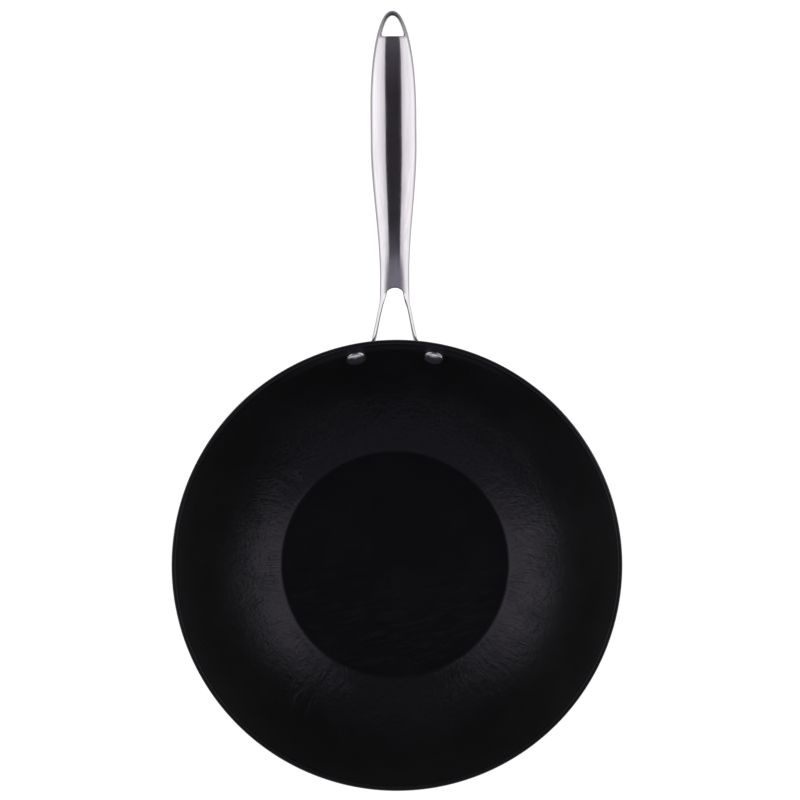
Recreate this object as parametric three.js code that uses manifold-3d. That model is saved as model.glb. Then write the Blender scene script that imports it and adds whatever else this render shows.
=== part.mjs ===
// A wok: a pressed steel bowl with a flat base, a long handle stamped from one steel sheet,
// and the two rivets that hold the handle's ears to the outside of the bowl.
// Millimetres. The origin is the middle of the base's underside, +Z is up, the handle runs along +Y.
import * as THREE from "three";
import { mergeVertices } from "three/addons/utils/BufferGeometryUtils.js";
import Module from "manifold-3d";

const wasm = await Module();
wasm.setup();

// Bowl
const rimDiameter = 300;
const baseDiameter = 155;
const bowlHeight = 74;
const bowlSheet = 2.2;
const wallStartAngle = 30;
const baseBendRadius = 5;

// Handle, lengths along the handle in order from the rim to the tip
const forkLength = 34.5;
const neckLength = 7.5;
const taperLength = 87;
const gripLength = 20;
const endLength = 69;

// Handle, widths and section
const neckWidth = 19.4;
const gripWidth = 30.4;
const handleSheet = 2.2;
const crownRatio = 0.7;
const flankDepth = 7;
const lipReach = 5;
const lipRadius = 4;
const endRoundness = 2.15;

// Handle, side view: the crest is the highest point of the crown
const crestHeight = 29;
const crestBeforeTip = 48;

// Fork legs and ears
const forkArchWidth = 9.6;
const forkArchRise = 3.4;
const legFlareStart = 7.2;
const legFlareAngle = 11;
const legShoulder = 4.6;
const legEase = 14;
const legBendRadius = 5;
const earHalfHeight = 8;
const earGap = 0.3;

// Hang hole
const hangHoleLength = 14;
const hangHoleWall = 2.7;
const hangHoleCorner = 2.4;

// Rivets
const rivetSpacing = 52.4;
const rivetBelowRim = 12.5;
const shankDiameter = 6;
const headDiameter = 12.6;
const headHeight = 3.4;
const tailDiameter = 10.4;
const tailHeight = 1.8;
const shankClearance = 0.3;
const seatClearance = 0.45;

// Smoothness of the facets
const bowlSides = 72;
const wallSteps = 8;
const handleSteps = 30;
const archSteps = 10;
const roundSteps = 3;
const rivetSides = 20;
const legSteps = 6;
const legLevels = 4;

const degrees = Math.PI / 180;
const halfTurn = Math.PI;
const endStop = 0.95 * (halfTurn / 2); // rounded ends stop just short of a point

// The bowl's sheet in section: a flat base, a small bend and a wall that is one arc.
// The arc leaves the bend at the start angle and ends at the middle of the rounded rim.
const startAngle = wallStartAngle * degrees;
const bendRadius = baseBendRadius + bowlSheet / 2;
const bendCentre = new THREE.Vector2(
  baseDiameter / 2 - baseBendRadius * Math.tan(startAngle / 2),
  bowlSheet + baseBendRadius,
);
const wallStart = bendCentre
  .clone()
  .add(new THREE.Vector2(Math.sin(startAngle), -Math.cos(startAngle)).multiplyScalar(bendRadius));
const rimMiddle = new THREE.Vector2((rimDiameter - bowlSheet) / 2, bowlHeight - bowlSheet / 2);
const wallChord = rimMiddle.clone().sub(wallStart);
const chordAngle = wallChord.angle();
const rimAngle = 2 * chordAngle - startAngle;
const wallRadius = wallChord.length() / (2 * Math.sin(chordAngle - startAngle));
const wallCentre = wallStart
  .clone()
  .add(new THREE.Vector2(-Math.sin(startAngle), Math.cos(startAngle)).multiplyScalar(wallRadius));

// Distance from the bowl's axis to a surface that lies a given offset outside the middle of the wall.
function wallReach(z, offset) {
  const radius = wallRadius + offset;
  return wallCentre.x + Math.sqrt(radius ** 2 - (wallCentre.y - z) ** 2);
}

// Points of an arc round a centre, by the angle of its tangent from the table.
function sheetArc(centre, radius, from, to, steps) {
  return Array.from({ length: steps + 1 }, (_, i) => {
    const angle = from + ((to - from) * i) / steps;
    return new THREE.Vector2(centre.x + radius * Math.sin(angle), centre.y - radius * Math.cos(angle));
  });
}

// Booleans work on solids, and each finished piece is a mesh made from one.
function solid(geometry) {
  const bare = geometry.clone();
  bare.deleteAttribute("normal");
  bare.deleteAttribute("uv");
  const merged = mergeVertices(bare, 1e-4);
  return new wasm.Manifold(
    new wasm.Mesh({
      numProp: 3,
      vertProperties: new Float32Array(merged.attributes.position.array),
      triVerts: new Uint32Array(merged.index.array),
    }),
  );
}

function geometryOf(body) {
  const mesh = body.getMesh();
  const geometry = new THREE.BufferGeometry();
  geometry.setAttribute("position", new THREE.BufferAttribute(mesh.vertProperties, mesh.numProp));
  geometry.setIndex(new THREE.BufferAttribute(mesh.triVerts, 1));
  geometry.computeVertexNormals();
  return geometry;
}

// A closed skin through rings of points, each ring convex and all with the same count.
function loft(rings) {
  const count = rings[0].length;
  const points = rings.flat();
  const faces = [];
  for (let i = 0; i + 1 < rings.length; i++) {
    for (let k = 0; k < count; k++) {
      const a = i * count + k;
      const b = i * count + ((k + 1) % count);
      faces.push(a, b, a + count, b, b + count, a + count);
    }
  }
  const last = (rings.length - 1) * count;
  for (let k = 1; k + 1 < count; k++) {
    faces.push(0, k + 1, k);
    faces.push(last, last + k, last + k + 1);
  }
  const geometry = new THREE.BufferGeometry().setFromPoints(points);
  geometry.setIndex(faces);
  return geometry;
}

// A plan outline carried straight up between two heights.
function planPrism(shape, low, high) {
  const geometry = new THREE.ExtrudeGeometry(shape, {
    depth: high - low,
    bevelEnabled: false,
    curveSegments: archSteps,
  });
  return geometry.translate(0, 0, low);
}

// Rivet places: on the middle of the wall, square to it
const rivetZ = bowlHeight - rivetBelowRim;
const rivetReach = wallReach(rivetZ, 0);

function rivetFrame(side) {
  const turn = Math.asin((side * rivetSpacing) / 2 / rivetReach);
  const tilt = Math.acos((wallCentre.y - rivetZ) / wallRadius);
  const outward = new THREE.Vector3(
    Math.sin(turn) * Math.sin(tilt),
    Math.cos(turn) * Math.sin(tilt),
    -Math.cos(tilt),
  );
  const place = new THREE.Vector3(rivetReach * Math.sin(turn), rivetReach * Math.cos(turn), rivetZ);
  const spin = new THREE.Quaternion().setFromUnitVectors(new THREE.Vector3(0, 1, 0), outward);
  return { turn, place, spin };
}

function rivetHole(side) {
  const { place, spin } = rivetFrame(side);
  const drill = new THREE.CylinderGeometry(
    shankDiameter / 2 + shankClearance,
    shankDiameter / 2 + shankClearance,
    4 * (bowlSheet + handleSheet),
    rivetSides,
  );
  drill.applyQuaternion(spin).translate(place.x, place.y, place.z);
  return solid(drill);
}

// Bowl
function bowlGeometry() {
  const half = bowlSheet / 2;
  const outside = [
    ...sheetArc(bendCentre, bendRadius + half, 0, startAngle, roundSteps),
    ...sheetArc(wallCentre, wallRadius + half, startAngle, rimAngle, wallSteps).slice(1),
  ];
  const rimRound = Array.from({ length: roundSteps - 1 }, (_, i) => {
    const angle = rimAngle - halfTurn / 2 + (halfTurn * (i + 1)) / roundSteps;
    return new THREE.Vector2(rimMiddle.x + half * Math.cos(angle), rimMiddle.y + half * Math.sin(angle));
  });
  const inside = [
    ...sheetArc(bendCentre, bendRadius - half, 0, startAngle, roundSteps),
    ...sheetArc(wallCentre, wallRadius - half, startAngle, rimAngle, wallSteps).slice(1),
  ].reverse();
  const profile = [
    new THREE.Vector2(0, 0),
    ...outside,
    ...rimRound,
    ...inside,
    new THREE.Vector2(0, bowlSheet),
  ];
  const turned = new THREE.LatheGeometry(profile, bowlSides).rotateX(halfTurn / 2);
  return geometryOf(solid(turned).subtract(rivetHole(-1)).subtract(rivetHole(1)));
}

// Handle stations along +Y
const rimY = rimDiameter / 2;
const archY = rimY + forkLength;
const flareY = archY - legFlareStart;
const neckY = archY + neckLength;
const gripStartY = neckY + taperLength;
const gripEndY = gripStartY + gripLength;
const tipY = gripEndY + endLength;
const crestY = tipY - crestBeforeTip;
const crestZ = bowlHeight + crestHeight;
const channelStartY = (rimY + flareY) / 2;
const flareSlope = Math.tan(legFlareAngle * degrees);

// Half the handle's width before its rounded end: legs flare, the neck is straight, the grip swells.
function bodyHalfWidth(y) {
  const swell = THREE.MathUtils.smoothstep(y, neckY, gripStartY);
  const flare = Math.max(0, flareY - y) * flareSlope;
  return (neckWidth + (gripWidth - neckWidth) * swell) / 2 + flare;
}

// Height of the crown's middle line: a parabola whose top is the crest,
// low enough at the wall for the middle of the legs to meet the ears at the rivets' height.
const legMiddleDrop = (flankDepth - legShoulder) / 2;
const earY = wallReach(rivetZ, bowlSheet / 2 + earGap + handleSheet / 2);
const crownAtEar = rivetZ + legMiddleDrop + crownRatio * bodyHalfWidth(earY);
const crownFall = (crestZ - crownAtEar) / (crestY - earY) ** 2;

function crownZ(y) {
  return crestZ - crownFall * (crestY - y) ** 2;
}

function flankTopZ(y) {
  return crownZ(y) - crownRatio * bodyHalfWidth(y);
}

// How far along the rounded end a station is, from 0 at the grip to 1 at the tip.
function endShare(y, inset) {
  return Math.max(0, (y - gripEndY) / (endLength - inset));
}

function halfWidth(y, inset) {
  const share = 1 - endShare(y, inset) ** endRoundness;
  return (bodyHalfWidth(y) - inset) * Math.max(share, 0) ** (1 / endRoundness);
}

// Stations from the fork to the tip, closer together where the end rounds off.
function stations(from, inset) {
  const to = tipY - inset;
  return Array.from({ length: handleSteps + 1 }, (_, i) => {
    const along = Math.sin((i / handleSteps) * endStop);
    return from + (to - from) * along;
  });
}

// One section of the handle's solid form: an elliptic crown over straight flanks with rounded lower corners.
function crownSection(y, inset) {
  const half = halfWidth(y, inset);
  const body = bodyHalfWidth(y) - inset;
  const rise = crownRatio * bodyHalfWidth(y) - inset;
  const top = flankTopZ(y);
  const low = top - flankDepth + inset;
  const corner = Math.min(lipRadius - inset, half);
  const crown = Array.from({ length: archSteps + 1 }, (_, i) => {
    const x = half * Math.sin(halfTurn * (i / archSteps - 0.5));
    const share = endShare(y, inset) ** endRoundness + Math.abs(x / body) ** endRoundness;
    const round = Math.min(1, share ** (1 / endRoundness));
    return new THREE.Vector3(x, y, top + rise * Math.sqrt(1 - round ** 2));
  });
  const lower = [1, -1].flatMap((side) =>
    Array.from({ length: roundSteps + 1 }, (_, i) => {
      const angle = (halfTurn / 2) * (side > 0 ? i / roundSteps : 1 - i / roundSteps);
      const x = side * (half - corner + corner * Math.cos(angle));
      return new THREE.Vector3(x, y, low + corner - corner * Math.sin(angle));
    }),
  );
  return [...crown, ...lower];
}

// The open slot along the underside, between the two turned-in lips.
function slotSection(y) {
  const half = halfWidth(y, lipReach);
  const top = flankTopZ(y);
  const low = top - 2 * flankDepth;
  return [
    new THREE.Vector3(-half, y, top),
    new THREE.Vector3(half, y, top),
    new THREE.Vector3(half, y, low),
    new THREE.Vector3(-half, y, low),
  ];
}

// Gap between the fork legs: straight sides that open towards the bowl, under a rounded arch.
function forkGapShape() {
  const openY = channelStartY - handleSheet;
  const openHalf = bodyHalfWidth(openY) - handleSheet;
  const shape = new THREE.Shape();
  shape.moveTo(-openHalf, openY);
  shape.lineTo(openHalf, openY);
  shape.lineTo(forkArchWidth / 2, archY - forkArchRise);
  shape.absellipse(0, archY - forkArchRise, forkArchWidth / 2, forkArchRise, 0, halfTurn);
  shape.closePath();
  return shape;
}

// Hang hole: the rounded end's own outline, drawn in by the wall that is left round it.
function hangHoleShape() {
  const topY = tipY - hangHoleWall;
  const lowY = topY - hangHoleLength;
  const sideLength = hangHoleLength - hangHoleCorner;
  const side = Array.from({ length: archSteps + 1 }, (_, i) => {
    const share = Math.sin((i / archSteps) * (halfTurn / 2));
    const y = topY - sideLength * (1 - share);
    return new THREE.Vector2(halfWidth(y, hangHoleWall), y);
  });
  const lowHalf = side[0].x - hangHoleCorner;
  const shape = new THREE.Shape();
  shape.moveTo(-lowHalf, lowY);
  shape.lineTo(lowHalf, lowY);
  shape.quadraticCurveTo(side[0].x, lowY, side[0].x, side[0].y);
  side.slice(1).forEach((point) => shape.lineTo(point.x, point.y));
  side.slice(0, -1).reverse().forEach((point) => shape.lineTo(-point.x, point.y));
  shape.quadraticCurveTo(-side[0].x, lowY, -lowHalf, lowY);
  return shape;
}

// Middle of the sheet of the right leg and ear, for a place along it and a level from -1 to 1 across it.
// The leg runs straight towards the wall, bends outwards round an arc and then follows the wall.
// Past the rivet the ear's height shrinks as a half circle, so that the ear ends round.
function legPoint(along, level) {
  const outside = bowlSheet / 2 + earGap + handleSheet / 2;
  const fullReach = wallReach(rivetZ + level * earHalfHeight, outside);
  const flare = legFlareAngle * degrees;
  const inward = new THREE.Vector2(Math.sin(flare), -Math.cos(flare));
  const aside = new THREE.Vector2(Math.cos(flare), Math.sin(flare));
  const start = new THREE.Vector2((neckWidth - handleSheet) / 2, flareY);
  const shifted = start.clone().addScaledVector(aside, legBendRadius);
  const run = shifted.dot(inward);
  const outer = fullReach + legBendRadius;
  const straight = -run - Math.sqrt(run ** 2 - shifted.lengthSq() + outer ** 2);
  const bendMiddle = shifted.clone().addScaledVector(inward, straight);
  if (along > 2) {
    const wallTurn = Math.atan2(bendMiddle.x, bendMiddle.y);
    const rivetTurn = rivetFrame(1).turn;
    const earTurn = rivetTurn + earHalfHeight / rivetReach;
    const turn = wallTurn + (earTurn - wallTurn) * (along - 2);
    const past = THREE.MathUtils.clamp((turn - rivetTurn) / (earTurn - rivetTurn), 0, 1);
    const earZ = rivetZ + level * earHalfHeight * Math.sqrt(1 - past ** 2);
    const reach = wallReach(earZ, outside);
    return new THREE.Vector3(reach * Math.sin(turn), reach * Math.cos(turn), earZ);
  }
  const plan = start.clone().addScaledVector(inward, straight * Math.min(along, 1));
  if (along > 1) {
    const bendFrom = Math.atan2(-aside.y, -aside.x);
    const bendTo = Math.atan2(-bendMiddle.y, -bendMiddle.x);
    const angle = bendFrom + (bendTo - bendFrom) * (along - 1);
    plan.set(Math.cos(angle), Math.sin(angle)).multiplyScalar(legBendRadius).add(bendMiddle);
  }
  const earZ = rivetZ + level * earHalfHeight;
  const bendY = start.y + straight * inward.y;
  const legZ = flankTopZ(plan.y) - legMiddleDrop + (level * (flankDepth + legShoulder)) / 2;
  const lift = THREE.MathUtils.smoothstep(plan.y, bendY, bendY + legEase);
  return new THREE.Vector3(plan.x, plan.y, earZ + (legZ - earZ) * lift);
}

// One section across the leg's sheet: its outer face from the bottom up, then its inner face down.
function legSection(along, side) {
  const levels = Array.from({ length: legLevels + 1 }, (_, i) => (2 * i) / legLevels - 1);
  const step = 0.01;
  const faces = [1, -1].flatMap((face) => {
    const order = face > 0 ? levels : [...levels].reverse();
    return order.map((level) => {
      const here = legPoint(along, level);
      const ahead = legPoint(along + step, level).sub(legPoint(along - step, level));
      const up = legPoint(along, level + step).sub(legPoint(along, level - step));
      const normal = up.cross(ahead).normalize();
      return here.addScaledVector(normal, (face * handleSheet) / 2);
    });
  });
  const ring = faces.map((point) => point.multiply(new THREE.Vector3(side, 1, 1)));
  return side > 0 ? ring : ring.reverse();
}

function legSolid(side) {
  const even = Array.from({ length: 2 * legSteps + 1 }, (_, i) => i / legSteps);
  const rounding = Array.from({ length: legSteps }, (_, i) => 2 + Math.sin(((i + 1) / legSteps) * endStop));
  return solid(loft([...even, ...rounding].map((along) => legSection(along, side))));
}

function handleGeometry() {
  const outer = solid(loft(stations(channelStartY, 0).map((y) => crownSection(y, 0))));
  const innerStart = channelStartY - handleSheet;
  const inner = solid(loft(stations(innerStart, handleSheet).map((y) => crownSection(y, handleSheet))));
  const slot = solid(loft(stations(innerStart, lipReach).map((y) => slotSection(y))));
  const fork = solid(planPrism(forkGapShape(), 0, 2 * crestZ));
  const hole = solid(planPrism(hangHoleShape(), 0, 2 * crestZ));
  let body = outer.subtract(inner).subtract(slot).subtract(fork).subtract(hole);
  for (const side of [-1, 1]) {
    body = body.add(legSolid(side)).subtract(rivetHole(side));
  }
  return geometryOf(body);
}

// Rivet: a domed head inside the bowl, a shank through wall and ear, and a flat upset tail outside.
function rivetGeometry() {
  const headSeat = -bowlSheet / 2 - seatClearance;
  const tailSeat = bowlSheet / 2 + earGap + handleSheet + seatClearance;
  const dome = Array.from({ length: 2 * roundSteps }, (_, i) => {
    const angle = (halfTurn / 2) * (i / (2 * roundSteps));
    const radius = (headDiameter / 2) * Math.sin(angle);
    return new THREE.Vector2(radius, headSeat - headHeight * Math.cos(angle));
  });
  const upset = Array.from({ length: roundSteps + 1 }, (_, i) => {
    const angle = (halfTurn / 2) * (i / roundSteps);
    const radius = shankDiameter / 2 + ((tailDiameter - shankDiameter) / 2) * Math.cos(angle);
    return new THREE.Vector2(radius, tailSeat + tailHeight * Math.sin(angle));
  });
  const profile = [
    ...dome,
    new THREE.Vector2(headDiameter / 2, headSeat),
    new THREE.Vector2(shankDiameter / 2, headSeat),
    new THREE.Vector2(shankDiameter / 2, tailSeat),
    ...upset,
    new THREE.Vector2(0, tailSeat + tailHeight),
  ];
  return new THREE.LatheGeometry(profile, rivetSides);
}

function piece(name, geometry, color, roughness, metalness) {
  const mesh = new THREE.Mesh(geometry, new THREE.MeshStandardMaterial({ color, roughness, metalness }));
  mesh.name = name;
  return mesh;
}

const wok = new THREE.Group();
wok.add(piece("wok_bowl", bowlGeometry(), 0x151417, 0.5, 0.1));
wok.add(piece("long_handle", handleGeometry(), 0xc6c2c8, 0.32, 1));
for (const [name, side] of [["left_rivet", -1], ["right_rivet", 1]]) {
  const { place, spin } = rivetFrame(side);
  const rivet = piece(name, rivetGeometry(), 0xb4b2b6, 0.2, 1);
  rivet.position.copy(place);
  rivet.quaternion.copy(spin);
  wok.add(rivet);
}

export default wok;
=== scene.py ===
"""A wok with a riveted long handle: fine surfaces and finishes made round the packed solids."""
import math

import bmesh
import bpy
import numpy as np
from bpy.props import FloatProperty, FloatVectorProperty, PointerProperty
from mathutils import Matrix, Vector


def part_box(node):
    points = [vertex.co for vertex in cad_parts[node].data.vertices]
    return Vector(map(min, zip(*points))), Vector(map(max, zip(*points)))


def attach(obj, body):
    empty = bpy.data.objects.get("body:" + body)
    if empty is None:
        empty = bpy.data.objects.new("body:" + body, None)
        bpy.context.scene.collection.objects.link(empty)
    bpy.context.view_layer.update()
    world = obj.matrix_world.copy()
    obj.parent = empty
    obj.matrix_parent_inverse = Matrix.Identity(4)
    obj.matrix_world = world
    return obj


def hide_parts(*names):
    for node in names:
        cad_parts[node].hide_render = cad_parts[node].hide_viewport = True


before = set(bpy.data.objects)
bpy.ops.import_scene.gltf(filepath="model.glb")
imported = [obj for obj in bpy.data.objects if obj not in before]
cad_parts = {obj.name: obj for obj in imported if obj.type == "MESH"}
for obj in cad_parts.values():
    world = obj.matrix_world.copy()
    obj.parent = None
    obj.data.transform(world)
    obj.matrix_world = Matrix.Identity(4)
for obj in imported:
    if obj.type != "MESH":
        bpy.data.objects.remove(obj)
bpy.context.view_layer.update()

bl_info = {
    "name": "Long-handled wok",
    "version": (1, 0, 0),
    "blender": (4, 5, 0),
    "location": "View3D > Sidebar > Wok",
    "description": "Makes a black wok with a brushed steel handle and two polished rivets",
    "category": "Object",
}

MM = 0.001
BODY = "root"
_, BOWL_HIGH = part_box("wok_bowl")
_, HANDLE_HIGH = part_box("long_handle")

# Fineness of the surfaces: steps round the bowl and a rivet, across half the handle and round its edges
BOWL_SEGMENTS = 720
RIVET_SEGMENTS = 96
HANDLE_ACROSS = 52
EDGE_STEPS = 6

WHITE = (1.0, 1.0, 1.0, 1.0)
BLACK = (0.0, 0.0, 0.0, 1.0)


def kind(maker, **traits):
    """A short call that makes a property of one kind from its name, description and default."""

    def make(name, description, default):
        return maker(name=name, description=description, default=default, **traits)

    return make


length = kind(FloatProperty, min=0.0, precision=5, unit="LENGTH", subtype="DISTANCE")
angle = kind(FloatProperty, unit="ROTATION", subtype="ANGLE")
share = kind(FloatProperty, min=0.0, precision=4)
colour = kind(FloatVectorProperty, size=3, min=0.0, max=1.0, subtype="COLOR")
point = kind(FloatVectorProperty, size=3, unit="LENGTH", subtype="TRANSLATION")


class WokBowlSizes(bpy.types.PropertyGroup):
    """Sizes of the pressed bowl."""

    rim_radius: length("Rim radius", "Outside radius of the rim", BOWL_HIGH.x)
    base_radius: length("Base radius", "Radius of the flat base inside the bowl", 77.5 * MM)
    height: length("Height", "Height of the rim above the table", BOWL_HIGH.z)
    sheet: length("Sheet", "Thickness of the bowl's sheet", 2.2 * MM)
    wall_start: angle("Wall start", "Slope of the wall where it leaves the base", math.radians(30))
    base_bend: length("Base bend", "Inside radius of the bend between base and wall", 8 * MM)
    rim_bead: length("Rim bead", "Thickness of the rounded bead along the rim", 3.1 * MM)
    bead_ease: length("Bead ease", "Stretch over which the bead runs out into the wall inside", 3.6 * MM)
    wrinkle_depth: length("Wrinkle depth", "Depth of the fine radial wrinkles near the base", 0.06 * MM)


class WokHandleSizes(bpy.types.PropertyGroup):
    """Sizes of the stamped handle."""

    fork: length("Fork", "From the rim to the arch of the fork", 34.5 * MM)
    neck: length("Neck", "Straight neck past the arch", 7.5 * MM)
    taper: length("Taper", "Stretch over which the neck swells to the grip", 87 * MM)
    grip: length("Grip", "Stretch of full width", 20 * MM)
    neck_width: length("Neck width", "Width of the neck", 19.4 * MM)
    grip_width: length("Grip width", "Greatest width of the handle", 30.4 * MM)
    sheet: length("Sheet", "Thickness of the handle's sheet", 2.2 * MM)
    crown_ratio: share("Crown ratio", "Rise of the crown as a share of half the width", 0.7)
    arch_ratio: share("Arch ratio", "The same share where the crown is pressed flatter at the arch", 0.64)
    leg_ratio: share("Leg ratio", "The same share along the legs, which are turned down steeply", 1.15)
    flank_depth: length("Flank depth", "Depth of the flanks below the crown", 7 * MM)
    lip_reach: length("Lip reach", "How far the lips turn in under the flanks", 5 * MM)
    lip_radius: length("Lip radius", "Radius of the turn from flank to lip", 4 * MM)
    loop_lip: length("Loop lip", "The same radius round the hang hole", 1.6 * MM)
    end_roundness: share("End roundness", "Exponent of the rounded end's outline", 2.15)
    crest_before_tip: length("Crest before tip", "From the highest point of the crown to the tip", 48 * MM)
    arch_rise: length("Arch rise", "Rise of the fork's arch", 4.2 * MM)
    flare_start: length("Flare start", "From the arch back to where the legs start to flare", 9 * MM)
    flare_ease: length("Flare ease", "Stretch over which the flare sets in", 2.5 * MM)
    flare_angle: angle("Flare angle", "Angle of the legs to the handle's axis", math.radians(12.5))
    leg_start: length("Leg start", "From the arch back to where the crown's form has gone", 30.2 * MM)
    leg_shoulder: length("Leg shoulder", "Height of the legs above the flanks' top", 4.6 * MM)
    leg_ease: length("Leg ease", "Stretch over which a leg comes down to its ear", 22 * MM)
    leg_bend: length("Leg bend", "Radius of the bend from leg to ear, in the middle of the sheet", 5 * MM)
    ear_drop: length("Ear drop", "Reach of an ear below and past its rivet", 8 * MM)
    ear_rise: length("Ear rise", "Reach of an ear above its rivet, below the rim", 5.6 * MM)
    hole_length: length("Hole length", "Length of the hang hole along the handle", 15.2 * MM)
    hole_wall: length("Hole wall", "Width of the loop beside the hang hole", 1.9 * MM)
    hole_tip: length("Hole tip", "Width of the loop at the tip", 2.5 * MM)
    hole_corner: length("Hole corner", "Size of the hang hole's lower corners", 2.4 * MM)
    edge_round: length("Edge round", "How far the rounded sheet edges stand out", 0.45 * MM)
    thin_sheet: length("Thin sheet", "Thickness where the sheet is drawn thin round the hang hole", 1.2 * MM)
    fork_edge: length("Fork edge", "Thickness of the fork's inner edge, which is pressed thin", 0.5 * MM)


class WokRivetSizes(bpy.types.PropertyGroup):
    """Sizes and places of the rivets."""

    spacing: length("Spacing", "Distance between the two rivets", 52.4 * MM)
    below_rim: length("Below rim", "Height of the rim above the rivets", 12.5 * MM)
    shank: length("Shank", "Diameter of the shank", 6 * MM)
    head: length("Head", "Diameter of the domed head", 13.5 * MM)
    head_round: length("Head round", "Radius of the head's rounded shoulder", 1.4 * MM)
    head_edge: length("Head edge", "Height of the head's straight edge", 0.6 * MM)
    head_sink: length("Head sink", "How far the head's underside is let into the curved wall", 0.55 * MM)
    head_slope: angle("Head slope", "Slope of the dome where it meets the shoulder", math.radians(16.5))
    dome_power: share("Dome power", "Power by which the dome's slope grows from its middle", 0.9)
    tail: length("Tail", "Diameter of the upset tail", 10.4 * MM)
    tail_height: length("Tail height", "Height of the upset tail", 2.1 * MM)
    ear_gap: length("Ear gap", "Gap between the bowl's wall and the handle's ears", 0.3 * MM)


class WokFinishes(bpy.types.PropertyGroup):
    """Colours of the finishes."""

    coating: colour("Coating", "Black coating of the bowl", (0.0070, 0.0072, 0.0077))
    sheen: colour("Sheen", "Lilac tint of the coating's gloss", (0.88, 0.80, 1.0))
    steel: colour("Brushed steel", "Brushed steel of the handle", (0.81, 0.775, 0.825))
    # The edge colour is painted shade: the darker colour given wherever the handle's steel is dull
    edge: colour("Edge steel", "Unpolished steel at the handle's edges", (0.26, 0.25, 0.27))
    rivet: colour("Polished steel", "Polished steel of the rivets", (0.74, 0.73, 0.75))
    floor: colour("Floor", "Plain floor", (0.3, 0.3, 0.3))


class WokStage(bpy.types.PropertyGroup):
    """Camera and light."""

    camera: point("Camera", "Place of the camera", (-0.0620, 0.0265, 2.8302))
    target: point("Target", "Point that the camera looks at", (0.0029, 0.1096, 0.074))
    roll: angle("Roll", "Turn of the camera about its own axis", math.radians(-0.573))
    lens: FloatProperty(name="Lens", description="Focal length in millimetres", default=186.64, min=1.0)
    room_light: share("Room light", "Even light that the room gives to dull surfaces", 0.43)
    lamp_power: share("Lamp power", "Mean power of the two side lamps in watts", 19.0)
    lamp_lean: share("Lamp lean", "How much stronger the left lamp is, and weaker the right one", 0.12)
    lamp_place: point("Lamp place", "Place of the right lamp; the left one stands opposite", (1.7, 0.6, 0.5))
    lamp_aim: point("Lamp aim", "Point that both lamps face", (0.0, 0.1, 0.05))
    lamp_width: length("Lamp width", "Width of a lamp", 1.4)
    lamp_height: length("Lamp height", "Height of a lamp", 0.9)
    floor_glow: share("Floor glow", "Brightness of the floor that doesn't depend on the lamps", 0.88)
    far_glow: share("Far glow", "What the far floor has more of it", 0.12)
    floor_reach: length("Floor reach", "Half the side of the floor", 6.0)
    dome_radius: length("Dome radius", "Distance of the panels that the gloss reflects", 12.0)


# Small tools for arrays and meshes


def smoothstep(x, low, high):
    """Eases from 0 at low to 1 at high as 3s squared less 2s cubed."""
    s = np.clip((x - low) / (high - low), 0.0, 1.0)
    return s * s * (3.0 - 2.0 * s)


def steps(start, stop, count):
    """Even steps from a start, which is left out, to a stop."""
    return np.linspace(start, stop, count + 1)[1:]


def full_turn(count):
    """Even angles round a full turn, as a row."""
    return np.linspace(0.0, 2 * math.pi, count, endpoint=False)[None, :]


def vectors(*parts):
    """Numbers or arrays set side by side along a last axis."""
    return np.stack(np.broadcast_arrays(*parts), axis=-1)


def unit(arrows):
    """Vectors along the last axis brought to length 1."""
    size = np.linalg.norm(arrows, axis=-1, keepdims=True)
    return arrows / np.maximum(size, 1e-12)


def grid_quads(rows, columns, first=0, wrap=False):
    """Quads between neighbours on a grid of vertex numbers; wrap joins the last column to the first."""
    i = np.arange(rows - 1)[:, None]
    j = np.arange(columns if wrap else columns - 1)[None, :]
    here = first + i * columns + j
    beside = first + i * columns + (j + 1) % columns
    return vectors(here, beside, beside + columns, here + columns).reshape(-1, 4)


def smooth_noise(u, v, seed, period):
    """Value noise: random heights on a lattice, blended with smoothstep; u repeats after a period."""
    table = np.random.default_rng(seed).random((1024, 256)) * 2.0 - 1.0
    u0 = np.floor(u).astype(int)
    v0 = np.floor(v).astype(int)
    su = smoothstep(u - u0, 0.0, 1.0)
    sv = smoothstep(v - v0, 0.0, 1.0)
    low, high = u0 % period, (u0 + 1) % period
    below, above = v0 % table.shape[1], (v0 + 1) % table.shape[1]
    near = table[low, below] * (1 - su) + table[high, below] * su
    far = table[low, above] * (1 - su) + table[high, above] * su
    return near * (1 - sv) + far * sv


def make_mesh(name, points, quads, **shares):
    """A smooth closed mesh from points and quads, its doubles merged and its faces turned outwards.

    Shares are numbers kept on the points for the finishes to read.
    """
    mesh = bpy.data.meshes.new(name)
    mesh.from_pydata(points.reshape(-1, 3).tolist(), [], quads.tolist())
    for key, values in shares.items():
        mesh.attributes.new(key, "FLOAT", "POINT").data.foreach_set("value", values.ravel())
    work = bmesh.new()
    work.from_mesh(mesh)
    bmesh.ops.remove_doubles(work, verts=work.verts, dist=1e-6)
    bmesh.ops.recalc_face_normals(work, faces=work.faces)
    work.to_mesh(mesh)
    work.free()
    mesh.polygons.foreach_set("use_smooth", np.ones(len(mesh.polygons), bool))
    mesh.update()
    return mesh


def place_piece(name, mesh, material, node):
    """Puts a finished mesh into the scene as the piece that stands for a solid."""
    piece = bpy.data.objects.new(name, mesh)
    bpy.context.scene.collection.objects.link(piece)
    mesh.materials.append(material)
    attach(piece, BODY)
    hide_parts(node)
    return piece


# Shapes


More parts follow.
